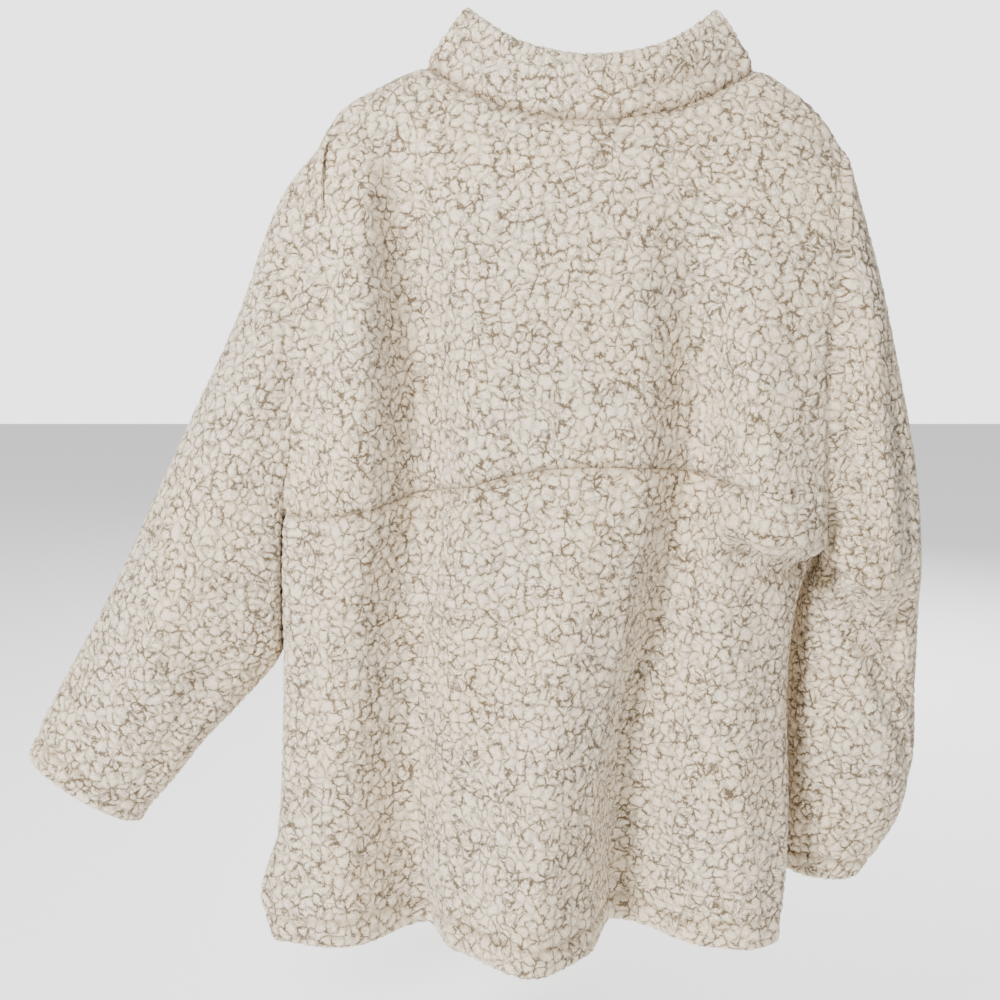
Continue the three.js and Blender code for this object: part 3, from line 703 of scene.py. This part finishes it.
def lay_flat(name):
    """Each point's place on the flat piece, in millimetres, and the piece's flat size and area."""
    coarse = [grid[::INNER_STEP, ::INNER_STEP] for grid in patches[name]]
    strips = [join_triangles(w[::INNER_STEP], n[::INNER_STEP], outwards) for w, n, outwards in joins[name]]
    used = np.unique(np.concatenate([grid.ravel() for grid in coarse]))
    at = np.full(len(points), -1)
    at[used] = np.arange(len(used))
    faces = [quad for grid in coarse for quad in at[grid_quads(grid)].tolist()]
    faces += [three for strip in strips for three in at[strip].tolist()]
    mesh = bpy.data.meshes.new("flat")
    mesh.from_pydata((points[used] * MM).tolist(), [], faces)
    mesh.uv_layers.new(name="flat")
    cut = bpy.data.objects.new("flat", mesh)
    bpy.context.collection.objects.link(cut)
    bpy.context.view_layer.objects.active = cut
    cut.select_set(True)
    bpy.ops.object.mode_set(mode="EDIT")
    bpy.ops.mesh.select_all(action="SELECT")
    bpy.ops.uv.unwrap(method="MINIMUM_STRETCH", iterations=UNWRAP_ROUNDS, no_flip=True, margin=0.0)
    bpy.ops.object.mode_set(mode="OBJECT")
    corners = np.empty(len(mesh.loops), np.int32)
    mesh.loops.foreach_get("vertex_index", corners)
    spots = np.empty(2 * len(mesh.loops), np.float32)
    mesh.uv_layers["flat"].uv.foreach_get("vector", spots)
    flat = np.zeros((len(used), 2))
    flat[corners] = spots.reshape(-1, 2)
    area = sum(polygon.area for polygon in mesh.polygons)
    flat_area = 0.0
    for polygon in mesh.polygons:
        ring = flat[list(polygon.vertices)]
        after = np.roll(ring, -1, axis=0)
        flat_area += abs(float(np.sum(ring[:, 0] * after[:, 1] - after[:, 0] * ring[:, 1]))) / 2
    bpy.data.objects.remove(cut)
    bpy.data.meshes.remove(mesh)
    flat *= math.sqrt(area / flat_area) / MM
    flat -= flat.mean(axis=0)
    shape = points[used][:, [0, 2]] * (1, -1)
    shape = shape - shape.mean(axis=0)
    left, _, right = np.linalg.svd(flat.T @ shape)
    flat = flat @ left @ right
    spots = np.zeros((len(points), 2))
    for grid in patches[name]:
        rough = flat[at[grid[::INNER_STEP, ::INNER_STEP]]]
        spots[grid] = refined(rough, *grid.shape)
    return spots, tuple(float(v) * MM for v in np.ptp(flat, axis=0)), area


lays = {}
flats = {}
areas = {}
for number, name in enumerate(("upper_back", "lower_back", "upper_front", "lower_front")):
    lays[name], flats[name], areas[name] = lay_flat(name)
    lays[name] += (PIECE_SPACING * number, 0)
steps = np.linalg.norm(np.diff(points[collar_grid], axis=1), axis=2)
climbs = np.linalg.norm(np.diff(points[collar_grid], axis=0), axis=2)
band = np.zeros((len(points), 2))
round_neck = np.concatenate([np.zeros((1,)), np.cumsum(steps[COLLAR_ROWS // 2])])
up_neck = np.concatenate([np.zeros((1, collar_grid.shape[1])), np.cumsum(climbs, axis=0)])
band[collar_grid[:, :-1], 0] = round_neck[None, :-1]
band[collar_grid[:, :-1], 1] = -up_neck[:, :-1]
lays["collar"] = band + (4 * PIECE_SPACING, 0)
flats["collar"] = (float(round_neck[-1]) * MM, float(up_neck.max()) * MM)


def turn_edge(edge, before, wall):
    """Rows of points that carry a free edge round to the inner face, and their outward directions."""
    global points, outward
    leading = points[edge] - points[before]
    leading /= np.linalg.norm(leading, axis=1, keepdims=True)
    middle_line = points[edge] - outward[edge] * wall / 2
    rows = []
    for turn in (45, 90, 135, 180):
        angle = math.radians(turn)
        direction = outward[edge] * math.cos(angle) + leading * math.sin(angle)
        rows.append(len(points) + np.arange(len(edge)))
        for name in lays:
            lays[name] = np.concatenate([lays[name], lays[name][edge] + (0, wall * angle / 2)])
        points = np.concatenate([points, middle_line + direction * wall / 2])
        outward = np.concatenate([outward, direction])
    return np.array(rows)


hems = {name: [] for name in patches}
for name in ("lower_back", "lower_front"):
    grid = patches[name][0]
    hems[name].append(np.concatenate([turn_edge(grid[0], grid[2], WALL)[::-1], grid[:1]]))
for (wide, narrow), outwards in zip(sleeve_rings, (-1, 1)):
    half = len(wide[0]) // 4
    turned = turn_edge(narrow[-1], narrow[-3], WALL)
    turned = np.concatenate([narrow[-1][None], turned])
    turned = np.concatenate([turned, turned[:, :1]], axis=1)
    hems["upper_back"].append(turned[:, : half + 1][::-outwards])
    hems["upper_front"].append(turned[:, half:][::-outwards])
turned = turn_edge(collar_grid[-1, :-1], collar_grid[-3, :-1], COLLAR_WALL)
turned = np.concatenate([turned, turned[:, :1]], axis=1)
hems["collar"].append(np.concatenate([collar_grid[-1:], turned]))


# Sewing pulls the fleece in: a soft trough runs along the yoke seam, the side seams, the seam over
# the shoulders and down the sleeves, and the neck seam. The turned hem and cuffs are stitched.
def nearness(knots, width):
    """1 on a line through knots, falling to 0 within a few widths of it, for every point."""
    knots = np.asarray(knots, float)
    close = np.zeros(len(points))
    for start, end in zip(knots[:-1], knots[1:]):
        low = np.minimum(start, end) - 3 * width
        high = np.maximum(start, end) + 3 * width
        near = np.flatnonzero(((points > low) & (points < high)).all(axis=1))
        if not len(near):
            continue
        run = end - start
        share = np.clip((points[near] - start) @ run / max(run @ run, 1e-9), 0, 1)
        away = np.linalg.norm(points[near] - start - share[:, None] * run, axis=1)
        close[near] = np.maximum(close[near], np.exp(-((away / width) ** 2)))
    return close


SEAM_WIDTH = 3.6
SEAM_SKIP = 6
STITCH_WIDTH = 3.0
YOKE_SEAM_END = 112
YOKE_SEAM_FADE = 16
YOKE_PULL = 2.2
NECK_PULL = 2.6
PLAIN_PULL = 1.4
STITCH_PULL = 1.8
yoke_line = np.concatenate([points[back[SEAM_ROW, ::SEAM_SKIP]], points[back[SEAM_ROW, -1:]]])
yoke_line = np.concatenate([yoke_line, points[front[SEAM_ROW, ::SEAM_SKIP]][::-1]])
seam_yoke = nearness(yoke_line, SEAM_WIDTH)
hidden = np.clip((points[:, 0] - YOKE_SEAM_END) / YOKE_SEAM_FADE, 0, 1)
seam_yoke *= np.where(points[:, 1] < 0, 1 - hidden, 1)
seam_neck = nearness(points[neck[::4]], SEAM_WIDTH + 0.6)
seam_plain = np.zeros(len(points))
for line in (
    back[TOP_ROW, : SHOULDER_COLUMNS + 1],
    back[TOP_ROW, -SHOULDER_COLUMNS - 1:],
    back[: UNDERARM_ROW + 1, 0],
    back[: UNDERARM_ROW + 1, -1],
):
    seam_plain = np.maximum(seam_plain, nearness(points[line[::4]], SEAM_WIDTH))
for wide, narrow in sleeve_rings:
    half = len(wide[0]) // 2
    for at in (0, half):
        line = [ring[at] for ring in wide[::4]] + [ring[at // 2] for ring in narrow[::4]]
        seam_plain = np.maximum(seam_plain, nearness(points[line], SEAM_WIDTH))
HEM_TURN = 19.0
CUFF_TURN = 17.0
wander = 1.2 * np.sin(points[:, 0] / 17)
stitched = np.exp(-(((points[:, 2] - HEM_Z - HEM_TURN - wander) / STITCH_WIDTH) ** 2))
stitched[points[:, 2] > HEM_Z + 2 * HEM_TURN] = 0
for wide, narrow in sleeve_rings:
    edge = points[narrow[-1]]
    into = points[narrow[-8]] - edge
    into /= np.linalg.norm(into, axis=1, keepdims=True)
    line = (edge + into * CUFF_TURN)[::2]
    stitched = np.maximum(stitched, nearness(np.concatenate([line, line[:1]]), STITCH_WIDTH))
seams = np.maximum.reduce([seam_yoke, seam_neck, 0.55 * seam_plain, 0.8 * stitched])

# Narrow creases where the cloth folds on itself: at the left armhole, under the pouch of the right
# sleeve, across both elbows, and across the collar where it bends. The front has its like.
CREASES = [  # depth, width, and the line's x, y, z from end to end
    (-9, 11, [(109, -64, -366), (126, -75, -372), (159, -63, -380), (194, -44, -396), (213, -60, -411)]),
    (18, 9, [(120, -57, -386), (141, -55, -390), (164, -35, -398), (189, -31, -409), (205, -49, -419)]),
    (8, 11, [(194, -59, -214), (198, -68, -289), (207, -71, -326), (215, -72, -354), (225, -70, -388)]),
    (8, 5, [(-204, -40, -180), (-211, -40, -240), (-217, -38, -300), (-219, -36, -350), (-222, -34, -400)]),
    (4, 5, [(-239, -20, -359), (-249, -30, -350), (-257, -38, -343)]),
    (4, 5, [(41, -41, -33), (64, -34, -28), (88, -24, -21), (111, -12, -14)]),
    (5, 7, [(-300, -40, -500), (-330, -36, -470), (-352, -36, -452)]),
    (9, 7, [(198, -48, -412), (218, -20, -448), (234, -10, -474), (248, -4, -494), (262, 0, -512)]),
    (5, 8, [(205, 70, -470), (232, 76, -480), (262, 70, -500)]),
    (5, 8, [(-300, 56, -520), (-330, 56, -490), (-360, 52, -470)]),
    (5, 7, [(-206, 44, -190), (-214, 46, -270), (-216, 46, -350)]),
]
CREASE_SPREAD = 1.4
# creases also masks where painted shade darkens the fleece's colour along the creases.
creases = np.zeros(len(points))
crease_push = np.zeros(len(points))
for depth, width, knots in CREASES:
    near = nearness(knots, width * CREASE_SPREAD)
    creases = np.maximum(creases, near)
    crease_push += depth * near
push_in = YOKE_PULL * seam_yoke + NECK_PULL * seam_neck + PLAIN_PULL * seam_plain
push_in = push_in + STITCH_PULL * stitched + crease_push
shaped = points - outward * push_in[:, None]


class Value:
    """A socket of a node tree that can stand in sums, products and comparisons."""

    def __init__(self, socket):
        self.socket = socket
        self.tree = socket.id_data

    def node(self, kind, settings=(), values=()):
        """A new node in the same tree, with its settings and its inputs by name or number."""
        made = self.tree.nodes.new(kind)
        for key, value in dict(settings).items():
            setattr(made, key, value)
        for key, value in dict(values).items():
            if isinstance(value, Value):
                self.tree.links.new(value.socket, made.inputs[key])
            else:
                made.inputs[key].default_value = value
        return made

    def maths(self, operation, *others):
        values = dict(enumerate((self, *others)))
        return Value(self.node("ShaderNodeMath", {"operation": operation}, values).outputs[0])

    def vector(self, operation, other):
        key = "Scale" if operation == "SCALE" else 1
        values = {0: self, key: other}
        return Value(self.node("ShaderNodeVectorMath", {"operation": operation}, values).outputs[0])

    def step(self, low, high):
        """0 below low and 1 above high, with a soft passage between them."""
        values = {"Value": self, "From Min": low, "From Max": high}
        made = self.node("ShaderNodeMapRange", {"interpolation_type": "SMOOTHSTEP"}, values)
        return Value(made.outputs["Result"])

    def mix(self, first, second):
        """The first colour where this is 0 and the second where it is 1."""
        made = self.node("ShaderNodeMix", {"data_type": "RGBA"}, {0: self, 6: first, 7: second})
        return Value(made.outputs[2])

    def __add__(self, other):
        return self.maths("ADD", other)

    def __radd__(self, other):
        return self.maths("ADD", other)

    def __sub__(self, other):
        return self.maths("SUBTRACT", other)

    def __rsub__(self, other):
        return self.maths("MULTIPLY", -1.0).maths("ADD", other)

    def __mul__(self, other):
        return self.maths("MULTIPLY", other)

    def __rmul__(self, other):
        return self.maths("MULTIPLY", other)

    def __truediv__(self, other):
        return self.maths("DIVIDE", other)

    def largest(self, other):
        return self.maths("MAXIMUM", other)


# The pile: curls of fleece 5 to 11 mm wide with narrow cracks between them. place is in millimetres
# on the cloth before it is raised, so that the raised curls and their colours lie together.
CURL = 8.4
SMALL_CURL = 4.7
BEND = 10.0
RIPPLE = 4.6


def noise(place, scale, detail, output="Fac", roughness=0.5):
    """Soft noise over the flat cloth, scale to a millimetre."""
    values = {"Vector": place, "Scale": scale, "Detail": detail, "Roughness": roughness}
    return Value(place.node("ShaderNodeTexNoise", {"noise_dimensions": "2D"}, values).outputs[output])


def curls(place, size):
    """Distance, in millimetres, from the cracks between curls of the given size."""
    settings = {"feature": "DISTANCE_TO_EDGE", "voronoi_dimensions": "2D"}
    made = place.node("ShaderNodeTexVoronoi", settings, {"Vector": place, "Scale": 1 / size})
    return Value(made.outputs["Distance"]) * size


def pile(place):
    """Distances, in millimetres, from the cracks between large and between small curls."""
    bend = noise(place, 0.07, 1.0, "Color").vector("SUBTRACT", (0.5, 0.5, 0.5))
    ripple = noise(place, 0.34, 2.0, "Color").vector("SUBTRACT", (0.5, 0.5, 0.5))
    moved = place.vector("ADD", bend.vector("SCALE", BEND))
    moved = moved.vector("ADD", ripple.vector("SCALE", RIPPLE))
    return curls(moved, CURL), curls(moved, SMALL_CURL)


def raise_pile(piece):
    """Lifts the curls out of the piece's outer face."""
    tree = bpy.data.node_groups.new(piece.name + "_pile", "GeometryNodeTree")
    tree.interface.new_socket("Geometry", in_out="INPUT", socket_type="NodeSocketGeometry")
    tree.interface.new_socket("Geometry", in_out="OUTPUT", socket_type="NodeSocketGeometry")
    begin = tree.nodes.new("NodeGroupInput")
    end = tree.nodes.new("NodeGroupOutput")
    geometry = Value(begin.outputs[0])

    def kept(label, kind):
        made = geometry.node("GeometryNodeInputNamedAttribute", {"data_type": kind}, {"Name": label})
        return Value(next(out for out in made.outputs if out.enabled and out.name == "Attribute"))

    place = kept("lay", "FLOAT_VECTOR")
    out = kept("out", "FLOAT_VECTOR")
    outer = kept("outer", "FLOAT")
    large, small = pile(place)
    height = large.step(0.0, 2.4) * 1.3 + small.step(0.0, 1.6) * 0.4 - 1.1
    lift = height * outer * MM
    offset = {"Geometry": geometry, "Offset": out.vector("SCALE", lift)}
    moved = geometry.node("GeometryNodeSetPosition", {}, offset)
    tree.links.new(moved.outputs[0], end.inputs[0])
    modifier = piece.modifiers.new("pile", "NODES")
    modifier.node_group = tree
    bpy.context.view_layer.objects.active = piece
    bpy.ops.object.modifier_apply(modifier="pile")


WARM_DEPTH = (0.63, 0.505, 0.345, 1)
COOL_DEPTH = (0.59, 0.495, 0.37, 1)
CREAM = (0.92, 0.79, 0.595, 1)
# Painted shade for the creases: a darker tan that stands in for the shade falling in them.
PAINTED_CREASE_SHADE = (0.40, 0.31, 0.205, 1)
SEAM_TAN = (0.31, 0.215, 0.11, 1)
CRACK_TAN = (0.27, 0.185, 0.092, 1)
# Painted shade deep in the cracks between the curls: a dark brown.
PAINTED_CRACK_SHADE = (0.065, 0.04, 0.017, 1)


def fleece(name):
    """Cream curls with tan cracks, painted brown shade at the cores of the cracks, more tan along the seams,
    and painted shade in the creases.
    """
    material = bpy.data.materials.new(name)
    material.use_nodes = True
    tree = material.node_tree
    cloth = tree.nodes["Principled BSDF"]

    def kept(label, output):
        made = tree.nodes.new("ShaderNodeAttribute")
        made.attribute_name = label
        return Value(made.outputs[output])

    place = kept("lay", "Vector")
    seam = kept("seam", "Fac")
    crease = kept("crease", "Fac")
    large, small = pile(place)
    broad = noise(place, 0.009, 2.0)
    patchy = noise(place, 0.045, 3.0)
    broken = noise(place, 0.13, 2.0)
    fibre = noise(place, 0.7, 4.0, roughness=0.7)
    halo = (1.0 - large.step(0.2, 2.2)) * broken.step(0.35, 0.65)
    crack_width = 0.5 + patchy.step(0.35, 0.65) * 0.8
    # core and thin mark where painted shade goes: down in the large cracks and in the small ones.
    core = (1.0 - (large / crack_width).step(0.3, 1.0)) * (0.25 + broken.step(0.3, 0.55) * 0.75)
    thin = (1.0 - small.step(0.1, 0.75)) * (0.15 + patchy.step(0.4, 0.65) * 0.6)
    body = broad.step(0.38, 0.62).mix(WARM_DEPTH, COOL_DEPTH)
    body = (large.step(0.6, 3.2) * 0.55 + fibre.step(0.35, 0.7) * 0.4).mix(body, CREAM)
    # Painted shade: the creases are darkened towards tan to stand in for the shade that falls in them.
    body = (crease * 0.3).mix(body, PAINTED_CREASE_SHADE)
    body = (seam * 0.55).mix(body, SEAM_TAN)
    body = (halo * 0.66).mix(body, CRACK_TAN)
    # Painted shade: the crack cores and the small cracks are darkened brown to stand in for the shade down
    # between the curls. The tan halo is the backing showing through.
    body = (core.largest(thin) * 0.84).mix(body, PAINTED_CRACK_SHADE)
    tree.links.new(body.socket, cloth.inputs["Base Color"])
    cloth.inputs["Roughness"].default_value = 0.95
    cloth.inputs["Specular IOR Level"].default_value = 0.1
    cloth.inputs["Sheen Weight"].default_value = 0.2
    cloth.inputs["Sheen Roughness"].default_value = 0.6
    relief = large.step(0.0, 2.0) * 0.5 + small.step(0.0, 1.2) * 0.4 + fibre * 0.9
    bump = place.node("ShaderNodeBump", {}, {"Height": relief, "Strength": 0.5, "Distance": 0.001})
    tree.links.new(bump.outputs["Normal"], cloth.inputs["Normal"])
    return material


INNER_SHIFT = 700


def shell(name, wall):
    """A closed shell: the fine outer face, its turned edges, and a plainer inner face behind it."""
    grids = patches[name]
    coarse = [grid[::INNER_STEP, ::INNER_STEP] for grid in grids]
    strips = [join_triangles(*join) for join in joins[name]]
    coarse_strips = [join_triangles(w[::INNER_STEP], n[::INNER_STEP], side) for w, n, side in joins[name]]
    used = np.unique(np.concatenate([grid.ravel() for grid in grids + hems[name]]))
    behind = np.unique(np.concatenate([grid.ravel() for grid in coarse]))
    outer_at = np.full(len(points), -1)
    outer_at[used] = np.arange(len(used))
    inner_at = np.full(len(points), -1)
    inner_at[behind] = len(used) + np.arange(len(behind))
    faces = [quad for grid in grids + hems[name] for quad in outer_at[grid_quads(grid)].tolist()]
    faces += [three for strip in strips for three in outer_at[strip].tolist()]
    plain = [quad for grid in coarse for quad in grid_quads(grid).tolist()]
    plain += [three for strip in coarse_strips for three in strip.tolist()]
    edges = {(start, end) for face in plain for start, end in zip(face, face[1:] + face[:1])}
    faces += [[int(inner_at[corner]) for corner in reversed(face)] for face in plain]
    last_row = {}
    for hem in hems[name]:
        for edge, inside in ((hem[0], hem[-1]), (hem[-1], hem[0])):
            for at_edge, at_inside in zip(edge.tolist(), inside.tolist()):
                last_row.setdefault(at_edge, at_inside)
    runs = []
    for grid in grids:
        for side in (grid[0], grid[:, -1], grid[-1][::-1], grid[::-1, 0]):
            side = side.tolist()
            runs += [side[k:k + INNER_STEP + 1] for k in range(0, len(side) - 1, INNER_STEP)]
    for wide, narrow, outwards in joins[name]:
        runs += [[int(wide[0]), int(narrow[0])], [int(wide[-1]), int(narrow[-1])]]
    for run in runs:
        for line in (run, run[::-1]):
            start, end = line[0], line[-1]
            if (start, end) in edges and (end, start) not in edges:
                if all(place in last_row for place in line):
                    line = [last_row[place] for place in line]
                fine = [int(outer_at[place]) for place in line]
                for here, there in zip(fine[:-1], fine[1:]):
                    faces.append([there, here, int(inner_at[start])])
                faces.append([fine[-1], int(inner_at[start]), int(inner_at[end])])
    inside = points[behind] - outward[behind] * wall
    mesh = bpy.data.meshes.new(name)
    mesh.from_pydata((np.concatenate([shaped[used], inside]) * MM).tolist(), [], faces)
    piece = bpy.data.objects.new(name + "_cloth", mesh)
    bpy.context.collection.objects.link(piece)
    plain_end = np.zeros(len(behind))
    spots = np.pad(lays[name], ((0, 0), (0, 1)))
    # The crease attribute carries the mask of the painted crease shade.
    for label, kind, values in (
        ("lay", "FLOAT_VECTOR", np.concatenate([spots[used], spots[behind] + (INNER_SHIFT, 0, 0)])),
        ("out", "FLOAT_VECTOR", np.concatenate([outward[used], -outward[behind]])),
        ("outer", "FLOAT", np.concatenate([np.ones(len(used)), plain_end])),
        ("seam", "FLOAT", np.concatenate([seams[used], plain_end])),
        ("crease", "FLOAT", np.concatenate([creases[used], plain_end])),
    ):
        layer = mesh.attributes.new(label, kind, "POINT")
        field = "vector" if kind == "FLOAT_VECTOR" else "value"
        layer.data.foreach_set(field, values.astype(np.float32).ravel())
    mesh.polygons.foreach_set("use_smooth", [True] * len(mesh.polygons))
    mesh.validate()
    mesh.update()
    raise_pile(piece)
    return piece


# The five pieces, each a thin shell of the same fleece, carried by the root body and hiding the CAD parts
# it stands for. The upper back and front stand for the sleeves' halves too, which are cut in one with them.
sherpa = fleece("sherpa")
walls = {"collar": COLLAR_WALL}
halves = {
    "upper_back": ("left_sleeve_back", "right_sleeve_back"),
    "upper_front": ("left_sleeve_front", "right_sleeve_front"),
}
for name in patches:
    piece = shell(name, walls.get(name, WALL))
    piece.data.materials.append(sherpa)
    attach(piece, "root")
    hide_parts(name, *halves.get(name, ()))
